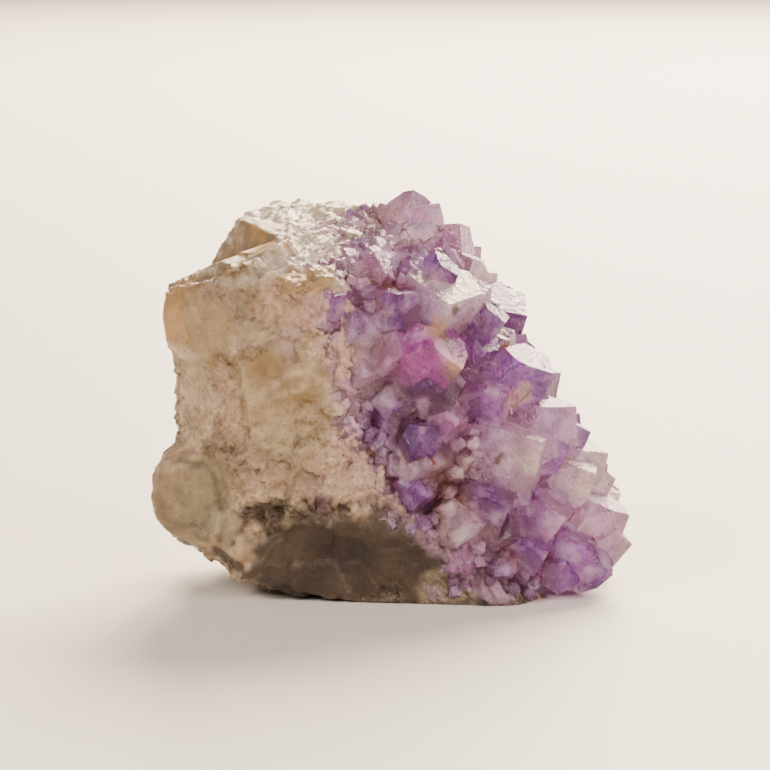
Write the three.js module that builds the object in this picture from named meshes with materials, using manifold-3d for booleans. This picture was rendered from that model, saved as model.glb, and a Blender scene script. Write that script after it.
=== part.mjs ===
// A broken lump of amethyst: a grey chalcedony rock with a druse of amethyst crystals grown on one side.
// Millimetres. +X is to the right of someone looking at the crystals, +Y away from them, +Z up.
// The origin is on the ground, under the middle of the specimen, which stands on a small flat.
import * as THREE from "three";
import { mergeVertices } from "three/addons/utils/BufferGeometryUtils.js";
import { ConvexGeometry } from "three/addons/geometries/ConvexGeometry.js";
import Module from "manifold-3d";

const wasm = await Module();
wasm.setup();

const { sin, cos, abs, sqrt, floor, PI } = Math;
const nearlyFlat = 1e-6; // determinant of three planes with no corner
const slack = 1e-6; // by which a corner may lie outside a plane
const radians = (degrees) => (degrees * PI) / 180;

// A direction by azimuth (0 towards the viewer, 90 to the right) and elevation, in degrees.
const facing = (azimuth, elevation) =>
  new THREE.Vector3(
    sin(radians(azimuth)) * cos(radians(elevation)),
    -cos(radians(azimuth)) * cos(radians(elevation)),
    sin(radians(elevation)),
  );

// A point in the middle of the rock, and a length that is past everything.
const core = new THREE.Vector3(-4, 1, 25);
const farOut = 60;

// Breaks of the rock, each a plane: [azimuth, elevation] that it faces, and a point that it goes through.
const body = {
  breaks: [
    [[-90, -72], [-15, 0, 0]], // underside, which rises to the left
    [[-36, -72], [0, -16, 0]], // underside, which rises to the front left corner
    [[-30, -44], [-20, -13, 4.6]], // lower front corner
    [[-66, -34], [-26, -8, 8]], // lower left corner
    [[-6, -20], [0, -16.4, 9]], // front, low down, leaning in to the foot
    [[2, 3], [-6, -16.8, 14]], // front
    [[-9, 10], [-12, -16.4, 34]], // front, high at the left
    [[8, 14], [0, -15.8, 36]], // front, high in the middle
    [[2, 56], [-4, -13.4, 44.4]], // chipped front edge of the top
    [[-44, 4], [-20.5, -15.2, 24]], // front left
    [[-70, 0], [-28.4, -7, 26]], // front left, turning to the side
    [[-95, -3], [-29.6, 0, 26]], // left
    [[-78, 22], [-26.2, -2, 47.5]], // crown's left side
    [[0, 78], [-10, 14, 51.5]], // top, tilted a little to the viewer
    [[-120, 30], [-24, 12, 44]], // chipped back corner of the crown
    [[-138, 8], [-24, 15, 25]], // back left
    [[-150, -28], [-18, 16, 8]], // back left, low
    [[-172, -8], [-8, 20, 14]], // back, low
    [[170, 14], [0, 20.5, 26]], // back, high
    [[178, 50], [-4, 18.6, 49.4]], // chipped back edge of the top
    [[135, 16], [16, 18, 20]], // back right
    [[90, 34], [23, 0, 24.2]], // crystal slope
    [[62, 20], [18, -7, 33]], // crystal slope, turning to the viewer
    [[38, 16], [8, -13.2, 36]], // crystal front, high
    [[26, 2], [14, -15, 12]], // crystal front, low
    [[88, 2], [30.2, 0, 12]], // right end
    [[84, -50], [28.6, 0, 3]], // underside at the right
  ],
};
// The smooth shoulder at the left, below the crown.
const shoulder = {
  breaks: [
    [[-93, -6], [-30.7, 0, 38]],
    [[-84, 64], [-27.6, -4, 43.2]],
    [[-66, 24], [-29, -8, 42]],
    [[-44, 0], [-26.6, -11.6, 38]],
    [[-20, 8], [-22.4, -14.8, 38]],
    [[-62, -48], [-28.8, -7, 33]],
    [[-30, -40], [-22, -14.2, 33.6]],
    [[-150, 0], [-26, 9, 38]],
    [[44, 6], [-19.4, -15.2, 38]],
    [[90, 0], [-14, 0, 38]],
  ],
};
// The oval nodule low at the left, broken flat on the side that faces the viewer.
const nodule = { at: [-25, -6, 14.4], radius: 8, cutFacing: [-30, 4], cutAt: 5.6 };
// A cut takes away what lies behind all of its planes: the step between the crown and the shoulder.
const crownStep = {
  breaks: [
    [[124, -20], [-18.5, 3.2, 49.4]],
    [[70, -66], [-24.5, -5, 45.2]],
  ],
};
// Shell-shaped breaks: where the middle is, the way it faces, radius of the ball and depth of the bite.
const scoops = [
  { at: [-15, -15.4, 9], facing: [-12, -16], radius: 15, depth: 1.5 }, // big smooth hollow below, three bites
  { at: [-7, -15.6, 7.5], facing: [-4, -22], radius: 17, depth: 1.8 },
  { at: [2, -15.6, 6], facing: [2, -20], radius: 16, depth: 1.2 },
  { at: [-16.2, -16.4, 33], facing: [-2, 6], radius: 13, depth: 1.3 }, // olive hollow, two bites
  { at: [-14.2, -16.6, 27.4], facing: [6, 2], radius: 11, depth: 1.3 },
  { at: [-27, -9.4, 26.4], facing: [-54, 2], radius: 12, depth: 1.1 }, // grey bay at the left
  { at: [-20.5, -14.6, 9], facing: [-24, -16], radius: 12, depth: 0.9 }, // pale facet beside the nodule
  { at: [-24.5, -11, 5.6], facing: [-40, -40], radius: 6, depth: 1.5 }, // dark hollow under the nodule
  { at: [9, -15.4, 3.5], facing: [6, -10], radius: 12, depth: 0.9 }, // pale patch at the foot
  { at: [-4, -16.4, 21], facing: [8, 0], radius: 18, depth: 0.8 }, // shallow hollow in the grainy band
  { at: [-27, 8, 22], facing: [-100, -4], radius: 18, depth: 1.8 }, // left, towards the back
  { at: [-24, 14, 32], facing: [-138, 8], radius: 16, depth: 2.1 }, // back left
  { at: [-12, 19.4, 22], facing: [-170, 0], radius: 15, depth: 1.6 }, // back, two bites
  { at: [-3, 20, 37], facing: [172, 14], radius: 18, depth: 2.3 },
  { at: [7, 20.5, 13], facing: [176, -6], radius: 14, depth: 1.8 }, // back, low
  { at: [-4, 6, 50.2], facing: [10, 80], radius: 26, depth: 0.7 }, // shallow dip in the top
];
const ballDetail = 5; // of the hollows and the nodule: 20 x 6 x 6 triangles
// The druse is a crust on the rock's core, inside a ball that bites into the rock from the upper right.
const druseBall = { at: [32, -5, 36.4], radius: 42, detail: 9 };
const bedDepth = 1.4; // of the quartz that the crystals stand on, below the rock's face
const crustDepth = 4.8; // of the whole druse, below the rock's face
const standsOff = 0.5; // height of the lowest crystals over the ground
const seam = 0.3; // gap between rock and druse
const toMiddle = [-0.2, -1.92, 0]; // brings the middle of the whole over the origin

const point = (values) => new THREE.Vector3(...values);
const plane = ([direction, through]) => {
  const normal = facing(...direction);
  return { normal, distance: normal.dot(point(through)) };
};
for (const block of [body, shoulder, crownStep]) block.planes = block.breaks.map(plane);
nodule.normal = facing(...nodule.cutFacing);
nodule.centre = point(nodule.at);
for (const scoop of scoops) {
  const outward = facing(...scoop.facing);
  scoop.centre = point(scoop.at).addScaledVector(outward, scoop.radius - scoop.depth);
}

// How far p is outside a block that lies behind all of its planes. It is below zero inside.
const outsideBlock = (block, p) =>
  Math.max(...block.planes.map(({ normal, distance }) => normal.dot(p) - distance));

const fromNodule = new THREE.Vector3();
function outsideNodule(p) {
  fromNodule.copy(p).sub(nodule.centre);
  return Math.max(fromNodule.length() - nodule.radius, fromNodule.dot(nodule.normal) - nodule.cutAt);
}

// How far p is outside the rock. It is below zero inside.
function outsideRock(p) {
  const whole = Math.min(outsideBlock(body, p), outsideBlock(shoulder, p), outsideNodule(p));
  const bites = scoops.map(({ centre, radius }) => radius - p.distanceTo(centre));
  return Math.max(whole, -outsideBlock(crownStep, p), ...bites, -p.z);
}

// Where a line from `from` along `direction` meets the rock, or passes nearest to it.
function meetRock(from, direction) {
  const p = new THREE.Vector3();
  const at = (distance) => outsideRock(p.copy(from).addScaledVector(direction, distance));
  const shortest = 0.15;
  let [near, far, nearest, nearestAt] = [0, 0, Infinity, 0];
  for (let out = at(0); out > 0 && far < 2 * farOut; out = at(far)) {
    if (out < nearest) [nearest, nearestAt] = [out, far];
    near = far;
    far += Math.max(out * 0.8, shortest);
  }
  if (far >= 2 * farOut) return from.clone().addScaledVector(direction, nearestAt);
  for (let i = 0; i < 12; i += 1) {
    const middle = (near + far) / 2;
    if (at(middle) > 0) near = middle;
    else far = middle;
  }
  return from.clone().addScaledVector(direction, far);
}

// The way the rock's surface faces at p.
function surfaceFacing(p) {
  const step = 0.3;
  const slope = (x, y, z) =>
    outsideRock(new THREE.Vector3(p.x + x, p.y + y, p.z + z)) -
    outsideRock(new THREE.Vector3(p.x - x, p.y - y, p.z - z));
  return new THREE.Vector3(slope(step, 0, 0), slope(0, step, 0), slope(0, 0, step)).normalize();
}

function solidOf(geometry) {
  const bare = geometry.clone();
  bare.deleteAttribute("normal");
  bare.deleteAttribute("uv");
  const merged = mergeVertices(bare, 1e-4);
  return new wasm.Manifold(
    new wasm.Mesh({
      numProp: 3,
      vertProperties: new Float32Array(merged.attributes.position.array),
      triVerts: new Uint32Array(merged.index.array),
    }),
  );
}

// The geometry of a finished solid, moved to where it stands.
function geometryOf(solid) {
  const { vertProperties, triVerts } = solid.getMesh();
  const geometry = new THREE.BufferGeometry();
  geometry.setAttribute("position", new THREE.BufferAttribute(vertProperties, 3));
  geometry.setIndex(new THREE.BufferAttribute(triVerts, 1));
  geometry.translate(...toMiddle);
  geometry.computeVertexNormals();
  return geometry;
}

// The block behind a set of planes, from the corners where three of them meet.
function blockSolid(planes) {
  const corners = [];
  const threePlanes = new THREE.Matrix3();
  planes.forEach((a, i) =>
    planes.slice(i + 1).forEach((b, j) =>
      planes.slice(i + j + 2).forEach((c) => {
        threePlanes.set(...a.normal.toArray(), ...b.normal.toArray(), ...c.normal.toArray());
        if (abs(threePlanes.determinant()) < nearlyFlat) return;
        const corner = point([a.distance, b.distance, c.distance]).applyMatrix3(threePlanes.invert());
        const inside = planes.every(({ normal, distance }) => normal.dot(corner) < distance + slack);
        if (inside) corners.push(corner);
      }),
    ),
  );
  return solidOf(new ConvexGeometry(corners));
}

function ballSolid(radius, detail, centre) {
  const geometry = new THREE.IcosahedronGeometry(radius, detail);
  geometry.translate(...centre.toArray());
  return solidOf(geometry);
}

// Planes round everything, which close a block that is open on some sides.
const closing = (normal) => ({ normal: point(normal), distance: 2 * farOut });
const allRound = [[1, 0, 0], [-1, 0, 0], [0, 1, 0], [0, -1, 0], [0, 0, 1], [0, 0, -1]].map(closing);
const ground = { normal: new THREE.Vector3(0, 0, -1), distance: 0 };

// The rock's body, with its planes moved inwards by `sinking`, standing on the ground.
function bodySolid(sinking) {
  const moved = body.planes.map(({ normal, distance }) => ({ normal, distance: distance - sinking }));
  return blockSolid([...moved, ground]);
}

// The whole rock, before the druse is parted from it.
function rockSolid() {
  const noduleCut = { normal: nodule.normal, distance: nodule.normal.dot(nodule.centre) + nodule.cutAt };
  const noduleSide = blockSolid([noduleCut, ...allRound]);
  const lump = ballSolid(nodule.radius, ballDetail, nodule.centre).intersect(noduleSide);
  const step = blockSolid([...crownStep.planes, ...allRound]);
  let rock = bodySolid(0).add(blockSolid(shoulder.planes)).add(lump).subtract(step);
  for (const { centre, radius } of scoops) rock = rock.subtract(ballSolid(radius, ballDetail, centre));
  return rock;
}

// Quartz: a six-sided prism whose end has three large faces and three small ones between them.
const faceRise = 1.27; // height of a full pyramid over the prism's half width
const rooted = 6; // length of a crystal that is hidden in the druse
const shortestPrism = 0.5;

// Corners of the six-sided section whose sides lie alternately at `large` and `small` from the axis.
function section(large, small, height) {
  const alongLarge = (4 * large - 2 * small) / 3;
  const alongSmall = (4 * small - 2 * large) / 3;
  const corners = [];
  for (let side = 0; side < 6; side += 1) {
    const [first, second] = side % 2 ? [alongSmall, alongLarge] : [alongLarge, alongSmall];
    const [a, b] = [radians(60 * side), radians(60 * (side + 1))];
    corners.push(
      new THREE.Vector3(first * cos(a) + second * cos(b), first * sin(a) + second * sin(b), height),
    );
  }
  return corners;
}

// A crystal of half width 1 whose tip is at height zero. `lesser` shrinks the three small faces, 0 to 1.
function crystalPoints(prism, lesser) {
  const points = [
    ...section(1, 1, -faceRise - prism),
    ...section(1, 1, -faceRise),
    ...section(1 - lesser, 1, faceRise * (lesser - 1)),
    new THREE.Vector3(0, 0, 0),
  ];
  const top = -faceRise * lesser;
  for (const side of [60, 180, 300])
    points.push(new THREE.Vector3(2 * lesser * cos(radians(side)), 2 * lesser * sin(radians(side)), top));
  return points;
}

// Crystals that stand out in the view. Each has its tip's place there, to the right of the middle and up from
// the ground in front, the way it points, its width, how far it stands out of the rock's face, and its turn:
// how far one of its three large faces is turned to the right of straight up.
const viewTilt = 10; // degrees that the viewer looks down
const viewFoot = -17; // where the front of the foot is, on Y
const named = [
  { tip: [2.8, 58], points: [10, 66], width: 8.5, out: 4.4, turn: 30 },
  { tip: [6.7, 56], points: [70, 50], width: 6, out: 3.2, turn: 0 },
  { tip: [5.5, 53], points: [40, 50], width: 4.8, out: 2.2, turn: 20 },
  { tip: [9.4, 53], points: [35, 52], width: 8.5, out: 4.5, turn: 10 },
  { tip: [12.8, 50.2], points: [75, 32], width: 6.4, out: 3.4, turn: 5 },
  { tip: [11, 47.8], points: [25, 35], width: 7.6, out: 3.5, turn: 25 },
  { tip: [15.2, 46.4], points: [76, 25], width: 5.4, out: 3, turn: 0 },
  { tip: [6.6, 46.4], points: [8, 25], width: 5.2, out: 2.2, turn: 50 },
  { tip: [7.6, 41], points: [14, 12], width: 12.6, out: 4.6, turn: 15 },
  { tip: [19.2, 40], points: [50, 8], width: 8.8, out: 5.6, turn: -8 },
  { tip: [12.2, 34.6], points: [16, -4], width: 5.8, out: 2.8, turn: 30 },
  { tip: [22, 32.2], points: [56, 10], width: 8.6, out: 5.2, turn: 0 },
  { tip: [18.4, 29.6], points: [32, 8], width: 5.6, out: 3, turn: 40 },
  { tip: [9.2, 32.4], points: [44, -8], width: 9, out: 5, turn: 10 },
  { tip: [1.5, 34.5], points: [6, 2], width: 9.6, out: 2.6, turn: 45 },
  { tip: [1, 42.4], points: [8, 32], width: 7.6, out: 3, turn: 5 },
  { tip: [25.4, 27.6], points: [70, 34], width: 9, out: 5, turn: 0 },
  { tip: [27.4, 24.2], points: [80, 10], width: 6.6, out: 3.6, turn: 10 },
  { tip: [14.8, 28.8], points: [24, 16], width: 8.6, out: 3.6, turn: 0 },
  { tip: [20.8, 22.8], points: [38, 20], width: 14.8, out: 6, turn: 6 },
  { tip: [8.6, 27.9], points: [36, -12], width: 7.6, out: 3.4, turn: 0 },
  { tip: [8.5, 25.2], points: [22, 4], width: 5.2, out: 2.4, turn: 30 },
  { tip: [4.4, 24.9], points: [15, 40], width: 4.8, out: 4.2, turn: 10 },
  { tip: [24.5, 22], points: [50, 14], width: 7, out: 3.5, turn: 20 },
  { tip: [30, 21.2], points: [76, 22], width: 7.6, out: 4, turn: 0 },
  { tip: [31.2, 17.5], points: [84, 8], width: 6.2, out: 3.4, turn: 25 },
  { tip: [28, 18.2], points: [48, 16], width: 7.6, out: 4.2, turn: 8 },
  { tip: [32.8, 12.4], points: [66, 12], width: 8.6, out: 5, turn: 0 },
  { tip: [33.4, 8.2], points: [80, -6], width: 6.6, out: 3.6, turn: 10 },
  { tip: [15.4, 14], points: [26, 10], width: 11, out: 3.4, turn: 0 },
  { tip: [10.4, 11], points: [18, -2], width: 7.2, out: 2.6, turn: 25 },
  { tip: [16.5, 10.2], points: [22, -4], width: 6.8, out: 3, turn: 50 },
  { tip: [23.4, 12], points: [36, 4], width: 8.6, out: 4, turn: 20 },
  { tip: [21, 7.2], points: [34, -6], width: 7.2, out: 3.4, turn: 0 },
  { tip: [27.6, 7.5], points: [50, -2], width: 7.2, out: 3.8, turn: 10 },
  { tip: [30.4, 4.2], points: [58, -14], width: 7.6, out: 3.6, turn: 10 },
  { tip: [25.2, 3.4], points: [38, -16], width: 6.2, out: 2.8, turn: 30 },
  { tip: [1, 25.8], points: [10, -4], width: 7.2, out: 2, turn: 12 },
  { tip: [5, 19.8], points: [14, 0], width: 8.2, out: 2.4, turn: 40 },
  { tip: [3.5, 14.8], points: [10, -8], width: 6.2, out: 1.8, turn: 21 },
  { tip: [-7.5, 42], points: [4, 22], width: 6.6, out: 1.8, turn: 9 },
  { tip: [-4, 37.5], points: [10, 6], width: 6.6, out: 2, turn: 44 },
  { tip: [-4, 31.2], points: [6, -8], width: 8, out: 1.7, turn: 30 },
];

// The rest of the druse: crystals spread evenly over it, seen from the core.
const spread = {
  count: 900, // directions tried
  narrow: 5.4,
  wide: 9,
  fewWide: 1.6, // power that makes wide crystals rarer
  lean: 22, // degrees either way
  apart: 0.37, // of the two widths, the least distance between two feet
  steepest: 0.86, // height of the outward direction where the top plane begins
  lowest: -0.5, // the same where the underside begins
  rim: 2.5, // feet stay this far inside the ball, and over the ground
};
const standOut = { least: 0.3, more: 0.25 }; // of a crystal's width
const threefold = 120; // degrees after which a crystal's end looks the same
const golden = PI * (3 - sqrt(5));
const chance = (index, salt) => {
  const value = sin(index * 12.9898 + salt * 78.233) * 43758.5453;
  return value - floor(value);
};
const smallFaces = (index) => 0.15 + 0.33 * chance(index, 5);

// Places a crystal: its tip stands `out` over its foot, which is on the rock's face.
function crystalSolid({ foot, pointing, width, out, turn, lesser }) {
  const across = pointing.clone().cross(new THREE.Vector3(0, 0, 1)).normalize();
  const over = across.clone().cross(pointing);
  const [c, s] = [cos(radians(turn)), sin(radians(turn))];
  const first = over.clone().multiplyScalar(c).addScaledVector(across, -s);
  const second = pointing.clone().cross(first);
  const half = width / 2;
  const prism = Math.max(out + rooted - faceRise * half, shortestPrism) / half;
  const placed = new THREE.Matrix4()
    .makeBasis(first, second, pointing)
    .scale(new THREE.Vector3(half, half, half))
    .setPosition(foot.clone().addScaledVector(pointing, out));
  return solidOf(new ConvexGeometry(crystalPoints(prism, lesser).map((p) => p.applyMatrix4(placed))));
}

const druseCentre = point(druseBall.at);

// Where the crystals stand: the named ones by the view, the rest on an even spiral of directions.
function druseCrystals() {
  const look = facing(0, viewTilt).negate();
  const pictureUp = new THREE.Vector3(0, sin(radians(viewTilt)), cos(radians(viewTilt)));
  const inFront = new THREE.Vector3(0, viewFoot, 0).addScaledVector(look, -farOut);
  const crystals = named.map(({ tip: [right, up], points, width, out, turn }, index) => {
    const pointing = facing(...points);
    const from = inFront.clone().addScaledVector(pictureUp, up - out * pointing.dot(pictureUp));
    from.x += right - out * pointing.x;
    return { foot: meetRock(from, look), pointing, width, out, turn, lesser: smallFaces(index) };
  });
  for (let index = 0; index < spread.count; index += 1) {
    const height = 1 - (2 * (index + 0.5)) / spread.count;
    const ring = sqrt(1 - height * height);
    const away = new THREE.Vector3(cos(golden * index) * ring, sin(golden * index) * ring, height);
    const foot = meetRock(core.clone().addScaledVector(away, farOut), away.clone().negate());
    const outward = surfaceFacing(foot);
    const inDruse = foot.distanceTo(druseCentre) < druseBall.radius - spread.rim && foot.z > spread.rim;
    const onSlope = outward.z > spread.lowest && outward.z < spread.steepest;
    const width = spread.narrow + (spread.wide - spread.narrow) * chance(index, 1) ** spread.fewWide;
    const crowded = crystals.some(
      (other) => other.foot.distanceTo(foot) < (other.width + width) * spread.apart,
    );
    if (!inDruse || !onSlope || crowded) continue;
    const lean = radians(spread.lean) * (2 * chance(index, 2) - 1);
    const side = new THREE.Vector3(outward.z, 0.3, -outward.x).cross(outward).normalize();
    crystals.push({
      foot,
      pointing: outward.clone().applyAxisAngle(side, lean),
      width,
      out: width * (standOut.least + standOut.more * chance(index, 3)),
      turn: threefold * chance(index, 4),
      lesser: smallFaces(index),
    });
  }
  return crystals;
}

const druseBounds = ballSolid(druseBall.radius - seam / 2, druseBall.detail, druseCentre);
const druseHollow = ballSolid(druseBall.radius + seam / 2, druseBall.detail, druseCentre);
const rock = rockSolid();
const rockCore = bodySolid(crustDepth + seam).intersect(rock);
const matrixSolid = rock.subtract(druseHollow).add(rockCore);

const bed = bodySolid(bedDepth).intersect(rock);
const clearOfGround = { normal: ground.normal, distance: -standsOff };
const aboveGround = blockSolid([clearOfGround, ...allRound]);
const allCrystals = wasm.Manifold.union(druseCrystals().map(crystalSolid)).intersect(aboveGround);
const druseSolid = bed.add(allCrystals).intersect(druseBounds).subtract(bodySolid(crustDepth));

const chalcedony = new THREE.MeshStandardMaterial({ color: 0xb3a78f, roughness: 0.6, metalness: 0 });
const amethyst = new THREE.MeshStandardMaterial({ color: 0xa77bb8, roughness: 0.25, metalness: 0 });

const specimen = new THREE.Group();
const matrixMesh = new THREE.Mesh(geometryOf(matrixSolid), chalcedony);
matrixMesh.name = "chalcedony_matrix";
const druseMesh = new THREE.Mesh(geometryOf(druseSolid), amethyst);
druseMesh.name = "amethyst_druse";
specimen.add(matrixMesh, druseMesh);

export default specimen;
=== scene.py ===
# Looks of a broken lump of chalcedony with a druse of amethyst crystals on one side.
# Shapes are worked out in millimetres in the lump's own frame, and become metres when a mesh is made.
import bmesh
import bpy
import numpy as np
from itertools import combinations
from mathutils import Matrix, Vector


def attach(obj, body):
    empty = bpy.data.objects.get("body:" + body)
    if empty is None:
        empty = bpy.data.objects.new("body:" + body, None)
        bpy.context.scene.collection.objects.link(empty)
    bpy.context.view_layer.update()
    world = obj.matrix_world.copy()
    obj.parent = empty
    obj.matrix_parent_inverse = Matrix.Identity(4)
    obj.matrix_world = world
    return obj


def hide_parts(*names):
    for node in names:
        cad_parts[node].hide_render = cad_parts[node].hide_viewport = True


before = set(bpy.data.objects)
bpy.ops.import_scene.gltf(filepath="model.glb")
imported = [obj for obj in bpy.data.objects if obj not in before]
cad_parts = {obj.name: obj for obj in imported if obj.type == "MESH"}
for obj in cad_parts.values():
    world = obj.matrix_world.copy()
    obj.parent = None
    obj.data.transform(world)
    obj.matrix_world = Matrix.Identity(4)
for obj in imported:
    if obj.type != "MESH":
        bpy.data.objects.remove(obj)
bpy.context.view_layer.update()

mm = 0.001
toMiddle = np.array([-0.2, -1.92, 0.0])  # brings the middle of the whole over the origin
core = np.array([-4.0, 1.0, 25.0])  # a point in the middle of the rock
farOut = 60.0


def facing(azimuth, elevation):
    # direction by azimuth (0 to the viewer, 90 to the right) and elevation, in degrees
    a, e = np.radians(azimuth), np.radians(elevation)
    return np.array([np.sin(a) * np.cos(e), -np.cos(a) * np.cos(e), np.sin(e)])


# Camera at the photograph's angle

camera = {
    "azimuth": 0, "elevation": 10,
    "distance": 420,  # mm to the middle of the specimen
    "lookAt": (-1.3, -1.92, 27.9),  # mm
    "across": 106.9,  # mm that the picture is wide there
    "sensor": 36, "nearest": 10,  # mm
}


def makeCamera():
    # looks from the azimuth and elevation at one point, with the lens that shows the width there
    back = facing(camera["azimuth"], camera["elevation"])
    data = bpy.data.cameras.new("camera")
    data.sensor_width = camera["sensor"]
    data.lens = camera["sensor"] * camera["distance"] / camera["across"]
    data.clip_start = camera["nearest"] * mm
    seen = bpy.data.objects.new("camera", data)
    bpy.context.collection.objects.link(seen)
    seen.location = (np.array(camera["lookAt"]) + back * camera["distance"]) * mm
    seen.rotation_euler = Vector(-back).to_track_quat("-Z", "Y").to_euler()
    bpy.context.scene.camera = seen


makeCamera()
print("camera placed")

# Noise, worked out as whole arrays

noise = {
    "scatter": (73856093, 19349663, 83492791, 2654435761),  # for the three axes and the salt
    "stir": ((15, 2246822519), (13, 3266489917), (16, 1)),  # bits to shift by, and factor
    "whole": 0xFFFFFFFF,  # 32 bits
}


def hashed(cells, salt):
    # one even random number from 0 to 1 for each whole-numbered cell: bits mixed by shifts and products
    n = cells.astype(np.int64)
    byX, byY, byZ, bySalt = noise["scatter"]
    h = n[..., 0] * byX ^ n[..., 1] * byY ^ n[..., 2] * byZ ^ (salt * bySalt)
    for shift, factor in noise["stir"]:
        h = (h ^ (h >> shift)) * factor & noise["whole"]
    return h / noise["whole"]


def softNoise(p, size, salt):
    # random values at the corners of cubes, blended smoothly between them: -1 to 1
    q = p / size
    low = np.floor(q)
    t = q - low
    t = t * t * (3 - 2 * t)
    total = np.zeros(p.shape[:-1])
    for corner in np.ndindex(2, 2, 2):
        share = np.prod(np.where(corner, t, 1 - t), axis=-1)
        total += share * hashed(low + corner, salt)
    return total * 2 - 1


def layered(p, size, salt, layers=3):
    # soft noise at halving sizes and heights
    return sum(softNoise(p, size / 2**k, salt + k) / 2**k for k in range(layers))


def chips(p, size, salt):
    # flat chips: space is shared out to points scattered one to a cube, and each share is a slope of its own
    q = p / size
    low = np.floor(q)
    near = np.full(p.shape[:-1], np.inf)
    height = np.zeros(p.shape[:-1])
    for step in np.ndindex(3, 3, 3):
        cell = low + np.array(step) - 1
        away = q - cell - np.stack([hashed(cell, salt + k) for k in (1, 2, 3)], -1)
        slope = np.stack([hashed(cell, salt + k) - 0.5 for k in (4, 5, 6)], -1)
        distance = (away**2).sum(-1)
        height = np.where(distance < near, (away * slope).sum(-1), height)
        near = np.minimum(near, distance)
    return height * size


def rise(x, start, end):
    # smooth step from 0 at start to 1 at end
    t = np.clip((x - start) / (end - start), 0, 1)
    return t * t * (3 - 2 * t)


# The rock

rock = {
    "edge": 0.16,  # mm of rounding where two breaks meet
    "blend": 3,  # times the edge where block, shoulder and nodule meet
    "ragged": 0.45,  # mm that a bite's rim wanders
    "panels": 128,  # squares along each side of the six-sided grid
    "body": [
        [[-90, -72], [-15, 0, 0]], [[-36, -72], [0, -16, 0]], [[-30, -44], [-20, -13, 4.6]],
        [[-66, -34], [-26, -8, 8]], [[-6, -20], [0, -16.4, 9]], [[2, 3], [-6, -16.8, 14]],
        [[-9, 10], [-12, -16.4, 34]], [[8, 14], [0, -15.8, 36]], [[2, 56], [-4, -13.4, 44.4]],
        [[-44, 4], [-20.5, -15.2, 24]], [[-70, 0], [-28.4, -7, 26]], [[-95, -3], [-29.6, 0, 26]],
        [[-78, 22], [-26.2, -2, 47.5]], [[0, 78], [-10, 14, 51.5]], [[-120, 30], [-24, 12, 44]],
        [[-138, 8], [-24, 15, 25]], [[-150, -28], [-18, 16, 8]], [[-172, -8], [-8, 20, 14]],
        [[170, 14], [0, 20.5, 26]], [[178, 50], [-4, 18.6, 49.4]], [[135, 16], [16, 18, 20]],
        [[90, 34], [23, 0, 24.2]], [[62, 20], [18, -7, 33]], [[38, 16], [8, -13.2, 36]],
        [[26, 2], [14, -15, 12]], [[88, 2], [30.2, 0, 12]], [[84, -50], [28.6, 0, 3]],
    ],
    "shoulder": [
        [[-93, -6], [-30.7, 0, 38]], [[-84, 64], [-27.6, -4, 43.2]], [[-66, 24], [-29, -8, 42]],
        [[-44, 0], [-26.6, -11.6, 38]], [[-20, 8], [-22.4, -14.8, 38]], [[-62, -48], [-28.8, -7, 33]],
        [[-30, -40], [-22, -14.2, 33.6]], [[-150, 0], [-26, 9, 38]], [[44, 6], [-19.4, -15.2, 38]],
        [[90, 0], [-14, 0, 38]],
    ],
    "crownStep": [[[124, -20], [-18.5, 3.2, 49.4]], [[70, -66], [-24.5, -5, 45.2]]],
    "nodule": {"at": [-25, -6, 14.4], "radius": 8, "cutFacing": [-30, 4], "cutAt": 5.6},
    # where the middle is, the way it faces, radius of the ball and depth of the bite
    "scoops": [
        ([-15, -15.4, 9], [-12, -16], 15, 1.5), ([-7, -15.6, 7.5], [-4, -22], 17, 1.8),
        ([2, -15.6, 6], [2, -20], 16, 1.2), ([-16.2, -16.4, 33], [-2, 6], 13, 1.3),
        ([-14.2, -16.6, 27.4], [6, 2], 11, 1.3), ([-27, -9.4, 26.4], [-54, 2], 12, 1.1),
        ([-20.5, -14.6, 9], [-24, -16], 12, 0.9), ([-24.5, -11, 5.6], [-40, -40], 6, 1.5),
        ([9, -15.4, 3.5], [6, -10], 12, 0.9), ([-4, -16.4, 21], [8, 0], 18, 0.8),
        ([-27, 8, 22], [-100, -4], 18, 1.8), ([-24, 14, 32], [-138, 8], 16, 2.1),
        ([-12, 19.4, 22], [-170, 0], 15, 1.6), ([-3, 20, 37], [172, 14], 18, 2.3),
        ([7, 20.5, 13], [176, -6], 14, 1.8), ([-4, 6, 50.2], [10, 80], 26, 0.7),
    ],
    "druseBall": {"at": np.array([32.0, -5.0, 36.4]), "radius": 42.0},
    "sunk": 4.6,  # mm that the rock lies deeper under the crystals
    "sinksOver": (1.5, 6.5),  # mm inside the druse's ball
}


def planesOf(breaks):
    # outward directions, and distances from the origin: dot products with a point on each plane
    normals = np.array([facing(*way) for way, through in breaks])
    return normals, np.sum(normals * np.array([through for way, through in breaks], float), axis=1)


def outsideBlock(p, breaks, edge):
    # logarithm of a sum of exponentials of the distances outside each plane: a block with rounded edges
    normals, distances = planesOf(breaks)
    out = p @ normals.T - distances
    most = out.max(-1)
    if edge == 0:
        return most
    return most + edge * np.log(np.exp((out - most[..., None]) / edge).sum(-1))


def softMin(a, b, k):
    # the lesser of two, rounded by a parabola where they differ by less than k
    mix = np.maximum(k - np.abs(a - b), 0) / k
    return np.minimum(a, b) - mix * mix * k / 4


def softMax(a, b, k):
    # the greater of two, rounded the same way
    return -softMin(-a, -b, k)


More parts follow.
